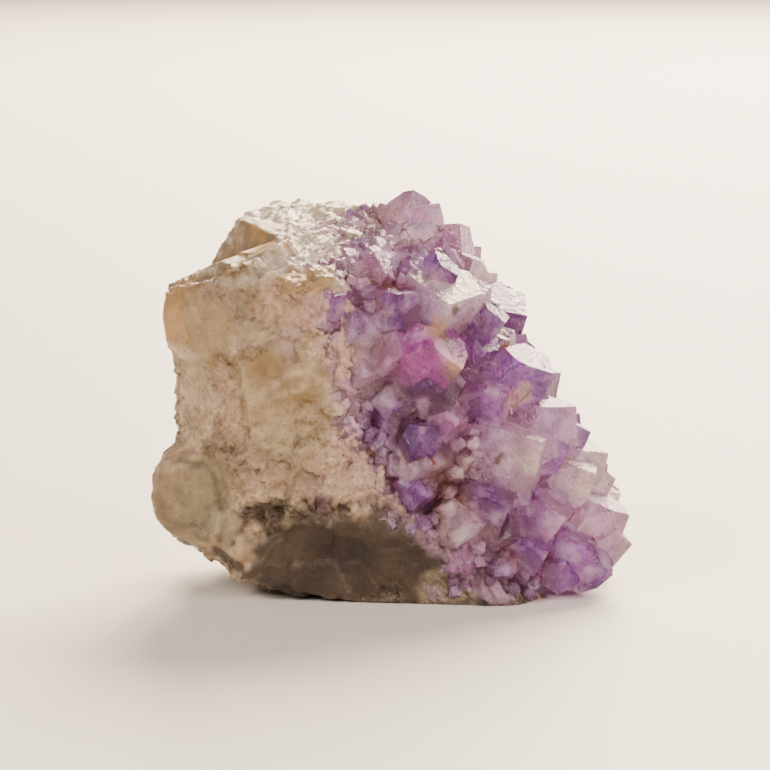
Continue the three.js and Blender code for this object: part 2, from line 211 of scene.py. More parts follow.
def outsideRock(p, edge=0.0, sunk=0.0):
    # how far p is outside the rock, below zero inside; edge rounds it, sunk lowers it under the crystals
    k = max(edge, 1e-6)
    blend = rock["blend"] * k
    whole = softMin(outsideBlock(p, rock["body"], edge), outsideBlock(p, rock["shoulder"], edge), blend)
    nodule = rock["nodule"]
    fromNodule = p - nodule["at"]
    cut = fromNodule @ facing(*nodule["cutFacing"]) - nodule["cutAt"]
    lump = softMax(np.linalg.norm(fromNodule, axis=-1) - nodule["radius"], cut, k)
    whole = softMin(whole, lump, blend)
    whole = softMax(whole, -outsideBlock(p, rock["crownStep"], edge), k)
    ragged = rock["ragged"] * layered(p, size=6, salt=95, layers=2) if edge else 0
    for at, way, radius, depth in rock["scoops"]:
        centre = np.array(at) + facing(*way) * (radius - depth)
        whole = softMax(whole, radius + ragged - np.linalg.norm(p - centre, axis=-1), k)
    if sunk:
        whole = whole + sunk * rise(insideDruse(p), *rock["sinksOver"])
    return np.maximum(whole, -p[..., 2])


def insideDruse(p):
    # how far p is inside the ball that the druse fills
    return rock["druseBall"]["radius"] - np.linalg.norm(p - rock["druseBall"]["at"], axis=-1)


def meetRock(start, way, edge=0.0, sunk=0.0):
    # where lines from start along way meet the rock, or pass nearest to it: each goes on by a share of
    # its distance outside, and the last step is then halved again and again
    shortest, stride, halvings = 0.15, 0.8, 12
    count = len(start)
    near, far = np.zeros(count), np.zeros(count)
    nearest, nearestAt = np.full(count, np.inf), np.zeros(count)
    out = outsideRock(start, edge, sunk)
    going = out > 0
    while going.any():
        i = np.nonzero(going)[0]
        closer = i[out[i] < nearest[i]]
        nearest[closer], nearestAt[closer] = out[closer], far[closer]
        near[i] = far[i]
        far[i] += np.maximum(out[i] * stride, shortest)
        out[i] = outsideRock(start[i] + way[i] * far[i, None], edge, sunk)
        going[i] = (out[i] > 0) & (far[i] < 2 * farOut)
    met = far < 2 * farOut
    for _ in range(halvings):
        middle = (near + far) / 2
        outside = outsideRock(start + way * middle[:, None], edge, sunk) > 0
        near = np.where(outside, middle, near)
        far = np.where(outside, far, middle)
    return start + way * np.where(met, far, nearestAt)[:, None]


def sixSidedGrid(panels):
    # directions over a sphere: a grid of two parameters on each side of a cube, pushed out to length 1
    steps = np.tan(np.linspace(-np.pi / 4, np.pi / 4, panels + 1))
    u, v = np.meshgrid(steps, steps, indexing="ij")
    corners, quads = [], []
    one = np.ones_like(u)
    index = np.arange((panels + 1) ** 2).reshape(panels + 1, panels + 1)
    square = np.stack([index[:-1, :-1], index[1:, :-1], index[1:, 1:], index[:-1, 1:]], -1).reshape(-1, 4)
    sides = [(u, v, one), (v, u, -one), (one, u, v), (-one, v, u), (v, one, u), (u, -one, v)]
    for side, (a, b, c) in enumerate(sides):
        corners.append(np.stack([a, b, c], -1).reshape(-1, 3))
        quads.append(square + side * len(corners[0]))
    corners = np.concatenate(corners)
    corners /= np.linalg.norm(corners, axis=1, keepdims=True)
    rounded = np.round(corners, decimals=6)
    _, first, merged = np.unique(rounded, axis=0, return_index=True, return_inverse=True)
    return corners[first], merged.reshape(-1)[np.concatenate(quads)]


def makeMesh(name, points, faces):
    # a smooth-shaded object from points in mm in the lump's frame, and faces as rows of corner numbers
    mesh = bpy.data.meshes.new(name)
    mesh.from_pydata(((points + toMiddle) * mm).tolist(), [], faces.tolist())
    mesh.polygons.foreach_set("use_smooth", np.ones(len(mesh.polygons), bool))
    mesh.update()
    piece = bpy.data.objects.new(name, mesh)
    bpy.context.collection.objects.link(piece)
    return piece


def pointsOf(mesh):
    # the mesh's points, in mm in the lump's frame
    flat = np.empty(len(mesh.vertices) * 3)
    mesh.vertices.foreach_get("co", flat)
    return flat.reshape(-1, 3) / mm - toMiddle


def normalsOf(mesh):
    # the direction outwards at each point
    flat = np.empty(len(mesh.vertices) * 3, np.float32)
    mesh.vertex_normals.foreach_get("vector", flat)
    return flat.reshape(-1, 3).astype(float)


def movePoints(mesh, points):
    # puts points in mm in the lump's frame back into the mesh
    mesh.vertices.foreach_set("co", ((points + toMiddle) * mm).reshape(-1))
    mesh.update()


def storeValue(mesh, name, values):
    # one number at each point, for a material to read
    layer = mesh.attributes.new(name, "FLOAT", "POINT")
    layer.data.foreach_set("value", np.asarray(values, np.float32))


def storeColour(mesh, name, colours, domain):
    # one linear colour at each point or corner, for a material to read
    layer = mesh.attributes.new(name, "FLOAT_COLOR", domain)
    opaque = np.column_stack([colours, np.ones(len(colours))]).astype(np.float32)
    layer.data.foreach_set("color", opaque.reshape(-1))


# Patches of the rock's face: colour, and ellipsoids with their middle and half sizes along X, Y and Z in mm
patches = {
    "waxy": ("#7c684b", [
        ((-27, -9, 38), (8.5, 9, 6.6)), ((-15.4, -16.6, 30), (6, 4, 8)), ((-26, -11, 14.2), (7.4, 5, 7.2)),
        ((-8, -15, 6.5), (16, 12, 7.2)), ((-22, -14, 8), (5, 5, 5)), ((-21, -4, 48), (6, 11, 4.6)),
        ((-24, 10, 34), (9, 9, 14)), ((-14, 20, 20), (13, 6, 15)), ((4, 21, 12), (9, 6, 10)),
    ]),
    "warm": ("#a5814f", [
        ((-29.6, -7, 39), (5, 10, 5.5)), ((-21, -6, 51), (6, 10, 4)), ((-24, -13, 7), (5, 5, 2.4)),
        ((-16, 18, 40), (12, 8, 9)), ((-12, -15, 45), (6, 4, 2)),
    ]),
    "shade": ("#8d7857", [((-24.5, -13, 37.6), (4.6, 6, 4.6)), ((-22, -13, 46.4), (4, 6, 1.6))]),
    "olive": ("#7b6236", [((-15.4, -16.6, 31), (7, 8, 8)), ((-12, -16, 25), (5, 4, 5))]),
    "nodule": ("#7b6f50", [((-25.6, -12, 14.6), (5, 4, 5.2))]),
    "dusky": ("#291b0f", [
        ((-6, -15, 5.6), (18, 13, 10.6)), ((-24, -12, 4.6), (5, 5, 3)), ((5, -16, 6), (9, 12, 8.6)),
        ((16, -14, 1.5), (9, 5, 2)),
    ]),
    "pale": ("#8a7c66", [((7.2, -15, 3), (4.2, 12, 2.9)), ((-22.6, -14.5, 10.4), (2.6, 4, 3.6))]),
    "rusty": ("#553014", [
        ((-5, -16, 15.2), (8, 4, 0.9)), ((-17.4, -6, 50), (1.6, 4, 1.6)),
        ((-11.3, -16.5, 31.8), (0.9, 3, 0.9)), ((11.6, -16, 4), (0.5, 5, 5)), ((-23, -12, 21.4), (4, 4, 0.7)),
        ((-20.5, -13, 46), (1.4, 3, 0.9)), ((-15.3, -13, 49.6), (0.6, 3, 0.6)),
        ((-17.4, -13, 45.4), (0.6, 3, 0.6)), ((-23.6, -9, 52), (0.5, 3, 0.5)),
    ]),
}
# glassAndGlint is the top's pale glassy quartz, lightened further as painted highlight for the glint of light
# on it
rockColours = {
    "sugar": "#b1937a", "grey": "#87745c", "quartz": "#c0a098", "glassAndGlint": "#dcd6ca", "rim": "#d9c9ae",
    "mauve": "#b08aae",
}
# How much of each colour shows where it is fullest
cover = {"patch": 0.88, "byCloud": 0.12, "rusty": 0.55, "glassAndGlint": 0.7, "rim": 0.3, "mauve": 0.8,
         "groove": 0.55, "scratch": 0.8, "grains": 0.8}
scratch = {"from": (-13.6, 4, 50.6), "to": (-7, -4, 51.4), "halfWide": 0.45, "deep": 0.5, "colour": "#5a5146"}
# Small forms of the rock's face: heights, widths and distances in mm
relief = {
    "swell": 0.3, "grain": 0.14,
    "flakes": 0.4, "flakesByDruse": 0.25,  # share of a chip's own slope, and more by the crystals
    "waxStands": 0.3, "oliveStands": 0.4,  # how far a patch stands out
    "plates": 0.35, "platesOnWax": 0.3,  # in the hollow, and the part of it on other waxy breaks
    "topOver": (43, 46), "topFlakes": 0.4, "topGrain": 0.15,
    "topStretch": np.array([0.5, 1, 1]),  # the top's pattern is drawn out along X
    "rimAt": 0.35, "rimWide": 0.4,  # worn rim round a bite, out from its ball
    "faceRagged": 0.9, "faceDeep": 1.2, "faceBeyond": 1.5,
    "ridge": 0.25, "ridgeAt": 0.1, "ridgeWide": 0.4,  # round the nodule's face, in from its edge
    "groove": 0.3, "grooveAt": 0.9, "grooveWide": 0.5,
    "quartzOver": (-5, 1.5), "mauveOver": (-9, 1),  # mm inside the druse's ball
    "footOver": (0.0, 1.0),  # the foot stays flat below the second height
}


def patchShare(p, kind):
    # 1 inside the ellipsoids of that kind, 0 outside, with a ragged edge: distance in half sizes, plus noise
    salt = len(kind)
    ragged = 0.3 * layered(p, size=4.5, salt=40 + salt, layers=4)
    ragged += 0.15 * layered(p, size=1.1, salt=50 + salt, layers=2)
    nearest = np.full(len(p), np.inf)
    for at, half in patches[kind][1]:
        nearest = np.minimum(nearest, np.linalg.norm((p - np.array(at)) / np.array(half), axis=-1))
    return 1 - rise(nearest + ragged, 0.76, 1.08)


def linear(hexColour):
    # sRGB hex to linear red, green and blue
    parts = np.array([int(hexColour[i:i + 2], 16) for i in (1, 3, 5)]) / 255
    return np.where(parts <= 0.04045, parts / 12.92, ((parts + 0.055) / 1.055) ** 2.4)


def toward(colour, hexColour, share):
    # mixes the colours by that share at each point
    return colour + (linear(hexColour) - colour) * np.asarray(share)[..., None]


def bell(x, middle, wide):
    # 1 at the middle, falling off by a bell curve
    return np.exp(-((x - middle) / wide) ** 2)


def marksOf(p):
    # shares of the marks on the rock, by distance from a bite's ball, the nodule's edge or the scratch
    rim = np.zeros(len(p))
    for at, way, radius, depth in rock["scoops"]:
        centre = np.array(at) + facing(*way) * (radius - depth)
        off = np.linalg.norm(p - centre, axis=1) - radius
        close = np.linalg.norm(p - np.array(at), axis=1) < radius
        rim = np.maximum(rim, bell(off, relief["rimAt"], relief["rimWide"]) * close)
    nodule = rock["nodule"]
    outward = facing(*nodule["cutFacing"])
    fromNodule = p - nodule["at"]
    high = fromNodule @ outward
    faceRadius = np.sqrt(nodule["radius"] ** 2 - nodule["cutAt"] ** 2)
    inward = faceRadius - np.linalg.norm(fromNodule - np.outer(high, outward), axis=1)
    inward += relief["faceRagged"] * layered(p, size=3.4, salt=97)
    onFace = np.abs(high - nodule["cutAt"]) < relief["faceDeep"]
    onFace &= np.linalg.norm(fromNodule, axis=1) < nodule["radius"] + relief["faceBeyond"]
    broken = rise(layered(p, size=4, salt=98), -0.4, 0.4)
    start = np.array(scratch["from"])
    line = np.array(scratch["to"]) - start
    along = np.clip((p - start) @ line / (line @ line), 0, 1)
    beside = np.linalg.norm(p - start - np.outer(along, line), axis=1)
    taper = 1.2 - np.abs(along - 0.5)
    return {
        "rim": rim,
        "ridge": bell(inward, relief["ridgeAt"], relief["ridgeWide"]) * onFace,
        "groove": bell(inward, relief["grooveAt"], relief["grooveWide"]) * onFace * broken,
        "scratch": 1 - rise(beside / scratch["halfWide"] / taper, 0.6, 1.6),
    }


def unevenness(p, shares, marks, byDruse, top):
    # height over the plain breaks: noise and chips of several sizes, weighed by patches and marks
    waxy, drawnOut = shares["waxy"], p * relief["topStretch"]
    flakes = chips(p, size=3.4, salt=7) + chips(p, size=1.8, salt=15)
    plated = np.maximum(shares["dusky"], relief["platesOnWax"] * waxy) * (1 - byDruse)
    height = relief["swell"] * layered(p, size=9, salt=1)
    height += (1 - waxy) * (relief["flakes"] + relief["flakesByDruse"] * byDruse) * flakes
    height += (1 - waxy) * relief["grain"] * layered(p, size=1.6, salt=33, layers=2)
    height += relief["waxStands"] * waxy + relief["oliveStands"] * shares["olive"]
    height += relief["plates"] * plated * chips(p, size=5.2, salt=61)
    height += top * (relief["topFlakes"] * chips(drawnOut, size=2.4, salt=27)
                     + relief["topGrain"] * layered(drawnOut, size=2.2, salt=9))
    height += relief["ridge"] * marks["ridge"] - relief["groove"] * marks["groove"]
    height -= scratch["deep"] * marks["scratch"]
    return height * rise(p[:, 2], *relief["footOver"])


def rockTint(p, shares, marks, byDruse, top):
    # colour at each point: each layer is mixed over the last by its share
    cloud = layered(p, size=7, salt=60, layers=4)
    tint = np.tile(linear(rockColours["sugar"]), (len(p), 1))
    tint = toward(tint, rockColours["grey"], rise(cloud, -0.5, 0.9))
    tint = toward(tint, rockColours["quartz"], byDruse)
    # painted highlight: the top is mixed toward near-white, partly its glassy quartz colour and partly the
    # glint of light on it
    tint = toward(tint, rockColours["glassAndGlint"], cover["glassAndGlint"] * top)
    for kind, share in shares.items():
        share = share * cover.get(kind, 1)
        tint = toward(tint, patches[kind][0], share * (cover["patch"] + cover["byCloud"] * cloud))
    tint = toward(tint, rockColours["rim"], cover["rim"] * marks["rim"] * (1 - shares["dusky"]))
    showing = rise(insideDruse(p), *relief["mauveOver"]) * rise(layered(p, size=5, salt=85), -0.1, 0.5)
    tint = toward(tint, rockColours["mauve"], cover["mauve"] * showing * (1 - shares["waxy"]))
    tint = toward(tint, patches["dusky"][0], cover["groove"] * marks["groove"])
    tint = toward(tint, scratch["colour"], cover["scratch"] * marks["scratch"])
    grains = rise(chips(p * [0.4, 1, 1], size=1.6, salt=90), 0.0, 0.5) * rise(p[:, 0], -12, -4)
    return toward(tint, rockColours["grey"], cover["grains"] * top * grains)


def makeMatrix():
    # a six-sided grid of directions, each met with the rock, then moved along its normal by the small forms
    directions, faces = sixSidedGrid(rock["panels"])
    p = meetRock(core + directions * farOut, -directions, rock["edge"], rock["sunk"])
    piece = makeMesh("chalcedonyMatrix", p, faces)
    shares = {kind: patchShare(p, kind) for kind in patches}
    marks = marksOf(p)
    byDruse = rise(insideDruse(p), *relief["quartzOver"])
    top = rise(p[:, 2], *relief["topOver"]) * (1 - shares["waxy"])
    moved = p + normalsOf(piece.data) * unevenness(p, shares, marks, byDruse, top)[:, None]
    moved[:, 2] = np.maximum(moved[:, 2], 0)
    movePoints(piece.data, moved)
    storeColour(piece.data, "tint", rockTint(p, shares, marks, byDruse, top), "POINT")
    storeValue(piece.data, "waxy", shares["waxy"])
    return piece


# The crystals

druse = {
    "faceRise": 1.27,  # height of a full pyramid over the prism's half width
    "lesser": (0.15, 0.33),  # setback of small end faces in half widths: least, and by chance
    "uneven": 0.16, "lowered": 0.1,  # how much sides and large end faces vary, in half widths
    "overCorners": 0.65,  # times the width: half of it across the corners
    "viewTilt": 10, "viewFoot": -17,  # degrees from above of the named places' view, and mm to its foot
    "root": 6,  # mm of a big crystal hidden in the rock
    # outward: how far up the rock may face where a crystal stands; within: mm inside the druse's ball
    "spread": {"count": 900, "narrow": 5.4, "wide": 9, "lean": 22, "apart": 0.37, "outward": (-0.5, 0.86),
               "within": 2.5, "lowest": 2.5, "out": (0.3, 0.25), "mostlyNarrow": 1.6},
    "small": {"count": 11000, "narrow": 1.7, "wide": 4.6, "lean": 36, "apart": 0.3, "root": 3.2,
              "outward": -0.6, "within": (-2, 2.2), "lowest": 1.2, "out": (0.12, 0.35), "bigReach": 0.46,
              "rimOver": (-1, 7), "rimThins": 0.8, "rimLowers": 0.6, "milk": (0.1, 0.35, 0.35)},
    "onFace": 0.1, "baseOver": (-1.4, 1.8), "baseShows": 0.8,  # mm, mm outside the rock, and share
    "bedDepth": 2.6, "crustDepth": 4.8,  # mm below the rock's face
    "ballBeyond": 5,  # mm that the crystals may reach past the druse's ball
    "worn": 0.07, "wornFrom": 25,  # mm off the edges, and the least angle of an edge
    "standsOff": 0.5,  # mm from the ground to the lowest crystals
    # the whiteAndLit tone is partly whitish crystal and partly painted highlight, for crystals whose faces
    # catch the light
    # tip's place in the view (right, up), the way it points, width, how far it stands out, turn, tone
    "named": [
        ((2.8, 58), (10, 66), 8.5, 4.4, 30, "pale"), ((6.7, 56), (70, 50), 6, 3.2, 0, "pale"),
        ((5.5, 53), (40, 50), 4.8, 2.2, 20, "whiteAndLit"), ((9.4, 53), (35, 52), 8.5, 4.5, 10, "pale"),
        ((12.8, 50.2), (75, 32), 6.4, 3.4, 5, "pale"), ((11, 47.8), (25, 35), 7.6, 3.5, 25, "whiteAndLit"),
        ((15.2, 46.4), (76, 25), 5.4, 3, 0, "whiteAndLit"), ((6.6, 46.4), (8, 25), 5.2, 2.2, 50, "deep"),
        ((7.6, 41), (14, 12), 12.6, 4.6, 15, "whiteAndLit"), ((19.2, 40), (50, 8), 8.8, 5.6, -8, "deep"),
        ((12.2, 34.6), (16, -4), 5.8, 2.8, 30, "deep"), ((22, 32.2), (56, 10), 8.6, 5.2, 0, "purple"),
        ((18.4, 29.6), (32, 8), 5.6, 3, 40, "cream"), ((9.2, 32.4), (44, -8), 9, 5, 10, "magenta"),
        ((1.5, 34.5), (6, 2), 9.6, 2.6, 45, "pink"), ((1, 42.4), (8, 32), 7.6, 3, 5, "deep"),
        ((25.4, 27.6), (70, 34), 9, 5, 0, "pale"), ((27.4, 24.2), (80, 10), 6.6, 3.6, 10, "purple"),
        ((14.8, 28.8), (24, 16), 8.6, 3.6, 0, "pink"), ((20.8, 22.8), (38, 20), 14.8, 6, 6, "pale"),
        ((8.6, 27.9), (36, -12), 7.6, 3.4, 0, "smoky"), ((8.5, 25.2), (22, 4), 5.2, 2.4, 30, "pink"),
        ((4.4, 24.9), (15, 40), 4.8, 4.2, 10, "deep"), ((24.5, 22), (50, 14), 7, 3.5, 20, "purple"),
        ((30, 21.2), (76, 22), 7.6, 4, 0, "whiteAndLit"), ((31.2, 17.5), (84, 8), 6.2, 3.4, 25, "whiteAndLit"),
        ((28, 18.2), (48, 16), 7.6, 4.2, 8, "whiteAndLit"), ((32.8, 12.4), (66, 12), 8.6, 5, 0, "pale"),
        ((33.4, 8.2), (80, -6), 6.6, 3.6, 10, "pale"), ((15.4, 14), (26, 10), 11, 3.4, 0, "smoky"),
        ((10.4, 11), (18, -2), 7.2, 2.6, 25, "pale"), ((16.5, 10.2), (22, -4), 6.8, 3, 50, "smoky"),
        ((23.4, 12), (36, 4), 8.6, 4, 20, "pink"), ((21, 7.2), (34, -6), 7.2, 3.4, 0, "purple"),
        ((27.6, 7.5), (50, -2), 7.2, 3.8, 10, "purple"), ((30.4, 4.2), (58, -14), 7.6, 3.6, 10, "purple"),
        ((25.2, 3.4), (38, -16), 6.2, 2.8, 30, "purple"), ((1, 25.8), (10, -4), 7.2, 2, 12, "smoky"),
        ((5, 19.8), (14, 0), 8.2, 2.4, 40, "cream"), ((3.5, 14.8), (10, -8), 6.2, 1.8, 21, "purple"),
        ((-7.5, 42), (4, 22), 6.6, 1.8, 9, "purple"), ((-4, 37.5), (10, 6), 6.6, 2, 44, "pale"),
        ((-4, 31.2), (6, -8), 8, 1.7, 30, "pale"),
    ],
}
# whiteAndLit: partly the whitish colour of some crystals, partly painted highlight
tones = {"whiteAndLit": "#f6e6ea", "cream": "#e6c6a6", "pale": "#e4bbdc", "pink": "#cf80c8", "purple": "#9852b8",
         "smoky": "#744a72", "deep": "#77309a", "magenta": "#d458c6", "milk": "#d2b0c6", "tan": "#ab7f5c"}
stains = [  # place in the view (right, up) and size in mm, and colour
    ((5.8, 37.6), 2.0, "#d3a57a"), ((15.9, 35.4), 1.3, "#cf9f6e"), ((7.9, 32.4), 1.6, "#c79a72"),
    ((17.5, 28.7), 1.8, "#e6caa8"), ((19.5, 20.6), 2.8, "#eadcc2"), ((26.3, 16.5), 1.4, "#f0e2c4"),
    ((8.2, 40.2), 1.0, "#54450f"), ((5.4, 20), 0.7, "#b8430f"), ((14.4, 20.6), 0.7, "#5c4030"),
]
golden = np.pi * (3 - np.sqrt(5))


def chance(index, salt):
    # an even random number from 0 to 1: the fraction of a large multiple of a sine
    value = np.sin(index * 12.9898 + salt * 78.233) * 43758.5453
    return value - np.floor(value)


def crystalAt(index, foot, way, width, out, turn, root, hue):
    # all that one crystal is built and coloured by, in mm and degrees; chance sets back its small faces
    least, more = druse["lesser"]
    return {"foot": foot, "way": way, "width": width, "out": out, "turn": turn, "root": root, "hue": hue,
            "lesser": least + more * chance(index, 5)}


def surfaceFacing(p):
    # the direction in which the distance outside the rock grows, by differences over a small step
    step = 0.3
    slopes = [outsideRock(p + step * axis) - outsideRock(p - step * axis) for axis in np.eye(3)]
    slopes = np.stack(slopes, -1)
    return slopes / np.linalg.norm(slopes, axis=-1, keepdims=True)


def spiralFeet(count):
    # an even spiral of directions from the core, and where each leaves the rock
    index = np.arange(count)
    height = 1 - 2 * (index + 0.5) / count
    ring = np.sqrt(1 - height * height)
    away = np.stack([np.cos(golden * index) * ring, np.sin(golden * index) * ring, height], -1)
    feet = meetRock(core + away * farOut, -away)
    return feet, surfaceFacing(feet)


def turned(direction, axis, angle):
    # turns a direction round an axis by the rotation formula of sine, cosine and cross product
    return (direction * np.cos(angle) + np.cross(axis, direction) * np.sin(angle)
            + axis * (axis @ direction) * (1 - np.cos(angle)))


def leaning(outward, degrees, index):
    # leans a direction by up to that many degrees, to either side of an axis across it
    side = np.cross([outward[2], 0.3, -outward[0]], outward)
    return turned(outward, side / np.linalg.norm(side), np.radians(degrees) * (chance(index, 2) - 0.5) * 2)


look = -facing(0, druse["viewTilt"])


def sightLine(right, high):
    # where the line of sight starts that passes a place in the view
    pictureUp = np.array([0, -look[2], look[1]])
    return np.array([right, druse["viewFoot"], 0]) - look * farOut + pictureUp * high


def seenAt(place, planes):
    # the first point of any crystal on the line of sight to a place in the view
    start = sightLine(*place)
    normals = np.array([n for n, d in planes])
    steepness = normals @ look
    distance = (np.array([d for n, d in planes]) - normals @ start) / steepness
    enters = np.where(steepness < 0, distance, -np.inf).max(1)
    leaves = np.where(steepness > 0, distance, np.inf).min(1)
    return start + look * enters[enters < leaves].min()


def zoneHue(p, index):
    # amethyst colour lies in zones through the druse, and varies a little from crystal to crystal
    zone = 0.5 + 0.7 * layered(p[None], size=13, salt=70, layers=2)[0] + 0.35 * (chance(index, 6) - 0.5)
    pinker = toward(linear(tones["pale"]), tones["pink"], rise(zone, 0.1, 0.5))
    return toward(pinker, tones["purple"], rise(zone, 0.45, 0.9))


def placeCrystals():
    # the big crystals, in the same places as in the solids, then the small ones between them
    crystals = []
    starts = [sightLine(*place) - facing(*points) * out for place, points, _, out, _, _ in druse["named"]]
    feet = meetRock(np.array(starts), np.tile(look, (len(starts), 1)))
    for index, (row, foot) in enumerate(zip(druse["named"], feet)):
        place, points, width, out, turn, tone = row
        crystals.append(crystalAt(index, foot, facing(*points), width, out, turn, druse["root"],
                                  linear(tones[tone])))
    spread = druse["spread"]
    feet, outwards = spiralFeet(spread["count"])
    for index, (foot, outward) in enumerate(zip(feet, outwards)):
        wider = chance(index, 1) ** spread["mostlyNarrow"]
        width = spread["narrow"] + (spread["wide"] - spread["narrow"]) * wider
        seats = np.array([c["foot"] for c in crystals])
        widths = np.array([c["width"] for c in crystals])
        crowded = (np.linalg.norm(seats - foot, axis=1) < (widths + width) * spread["apart"]).any()
        low, steep = spread["outward"]
        if insideDruse(foot) < spread["within"] or crowded or foot[2] < spread["lowest"]:
            continue
        if not low < outward[2] <= steep:
            continue
        least, more = spread["out"]
        crystals.append(crystalAt(index, foot, leaning(outward, spread["lean"], index), width,
                                  width * (least + more * chance(index, 3)), 120 * chance(index, 4),
                                  druse["root"], zoneHue(foot, index)))
    print("big crystals", len(crystals))
    small = druse["small"]
    big = len(crystals)
    seats = np.array([c["foot"] for c in crystals])
    reach = np.array([small["bigReach"] * c["width"] for c in crystals])
    feet, outwards = spiralFeet(small["count"])
    inside = insideDruse(feet)
    ragged = small["within"][0] + small["within"][1] * layered(feet, size=6, salt=75)
    for index, (foot, outward) in enumerate(zip(feet, outwards)):
        if inside[index] < ragged[index] or foot[2] < small["lowest"] or outward[2] < small["outward"]:
            continue
        rim = 1 - rise(inside[index], *small["rimOver"])
        wider = chance(index, 1) ** 2 * (1 - small["rimThins"] * rim)
        width = small["narrow"] + (small["wide"] - small["narrow"]) * wider
        gap = np.linalg.norm(seats - foot, axis=1)
        if (gap < reach + width * small["apart"]).any():
            continue
        seats = np.vstack([seats, foot])
        reach = np.append(reach, width * small["apart"])
        beside = crystals[int(np.argmin(gap[:big]))]["hue"]
        least, byChance, byRim = small["milk"]
        hue = toward(beside, tones["milk"], least + byChance * chance(index, 6) + byRim * rim)
        least, more = small["out"]
        out = width * (least + more * chance(index, 3) * (1 - small["rimLowers"] * rim))
        crystals.append(crystalAt(index, foot, leaning(outward, small["lean"], index), width, out,
                                  120 * chance(index, 4), small["root"], hue))
    print("small crystals", len(crystals) - big)
    return crystals


def crystalPlanes(crystal, index):
    # planes round one crystal: six sides, three large and three small end faces, and its root
    across = np.cross(crystal["way"], [0, 0, 1])
    across /= np.linalg.norm(across)
    over = np.cross(across, crystal["way"])
    turn = np.radians(crystal["turn"])
    first = over * np.cos(turn) - across * np.sin(turn)
    second = np.cross(crystal["way"], first)
    half = crystal["width"] / 2
    tip = crystal["foot"] + crystal["way"] * crystal["out"]
    normals, distances = [], []
    slope = np.arctan(druse["faceRise"])
    for side in range(6):
        around = np.radians(60 * side)
        radial = first * np.cos(around) + second * np.sin(around)
        uneven = 1 + druse["uneven"] * (chance(index, 20 + side) - 0.5)
        normals.append(radial)
        distances.append(radial @ tip + half * uneven)
        face = radial * np.sin(slope) + crystal["way"] * np.cos(slope)
        lowered = half * druse["lowered"] * chance(index, 30 + side)
        offset = 0 if side % 2 == 0 else crystal["lesser"] * half * np.sin(slope)
        normals.append(face)
        distances.append(face @ tip + offset - lowered * (side % 2 == 0))
    normals.append(-crystal["way"])
    distances.append(-crystal["way"] @ crystal["foot"] + crystal["root"])
    return np.array(normals), np.array(distances)


def cornersOf(normals, distances):
    # every point where three planes meet that lies behind all the others
    count, nearlyParallel, onPlane = len(distances), 1e-4, 1e-6
    triples = np.array(list(combinations(range(count), 3)))
    matrices = normals[triples]
    solid = np.abs(np.linalg.det(matrices)) > nearlyParallel
    points = np.linalg.solve(matrices[solid], distances[triples[solid]][..., None])[..., 0]
    return points[(points @ normals.T < distances + onPlane).all(1)]


def hullObject(name, cornerSets):
    # one object of separate closed blocks, each the hull of its corners
    shell = bmesh.new()
    for corners in cornerSets:
        made = [shell.verts.new(((q + toMiddle) * mm).tolist()) for q in corners]
        bmesh.ops.convex_hull(shell, input=made)
    mesh = bpy.data.meshes.new(name)
    shell.to_mesh(mesh)
    shell.free()
    return bpy.data.objects.new(name, mesh)


def cutBy(piece, operation, others):
    # puts a modifier on the piece that joins it to the others, or cuts it by them
    group = bpy.data.collections.new(operation)
    for other in others:
        group.objects.link(other)
    modifier = piece.modifiers.new(operation, "BOOLEAN")
    modifier.operation = operation
    modifier.solver = "MANIFOLD"
    modifier.operand_type = "COLLECTION"
    modifier.collection = group
    return group


def bodyHull(name, sinking):
    # the rock's body with its planes moved inwards, down to the ground
    normals, distances = planesOf(rock["body"])
    normals = np.vstack([normals, [0, 0, -1]])
    return hullObject(name, [cornersOf(normals, np.append(distances - sinking, 0))])


def apartFrom(crystals):
    # sorts the crystals into layers, so that no two in a layer touch
    middles = np.array([c["foot"] + c["way"] * (c["out"] - c["root"]) / 2 for c in crystals])
    reach = np.array([np.hypot(druse["overCorners"] * c["width"], (c["out"] + c["root"]) / 2)
                      for c in crystals])
    layer = np.full(len(crystals), -1)
    for index in range(len(crystals)):
        touching = np.linalg.norm(middles[:index] - middles[index], axis=1) < reach[:index] + reach[index]
        taken = set(layer[:index][touching])
        layer[index] = next(number for number in range(len(crystals)) if number not in taken)
    return layer


def joinedMesh(cornerSets, layer):
    # one closed mesh: the bed and every layer of crystals joined, kept within a ball, with the core cut away
    layers = [hullObject(f"layer{k}", [cornerSets[i] for i in np.nonzero(layer == k)[0]])
              for k in range(layer.max() + 1)]
    ballRadius = rock["druseBall"]["radius"] + druse["ballBeyond"]
    bpy.ops.mesh.primitive_ico_sphere_add(subdivisions=6, radius=ballRadius * mm,
                                          location=(rock["druseBall"]["at"] + toMiddle) * mm)
    ball = bpy.context.object
    joined = bodyHull("joined", druse["bedDepth"])
    bpy.context.collection.objects.link(joined)
    inside = bodyHull("inside", druse["crustDepth"])
    groups = [cutBy(joined, "UNION", layers), cutBy(joined, "INTERSECT", [ball]),
              cutBy(joined, "DIFFERENCE", [inside])]
    mesh = bpy.data.meshes.new_from_object(joined.evaluated_get(bpy.context.evaluated_depsgraph_get()))
    for spare in [joined, ball, inside, *layers]:
        bpy.data.objects.remove(spare)
    for group in groups:
        bpy.data.collections.remove(group)
    return mesh


def nearestCrystal(p, crystals, planes):
    # for each point, the number of the crystal that it lies on, or one past the last where it lies on none
    best = np.full(len(p), druse["onFace"])
    owner = np.full(len(p), len(crystals))
    for number, (crystal, (n, d)) in enumerate(zip(crystals, planes)):
        reach = crystal["width"] + crystal["root"]
        close = np.nonzero(np.abs(p - crystal["foot"]).max(1) < reach)[0]
        off = np.abs((p[close] @ n.T - d).max(1))
        won = off < best[close]
        best[close[won]] = off[won]
        owner[close[won]] = number
    return owner


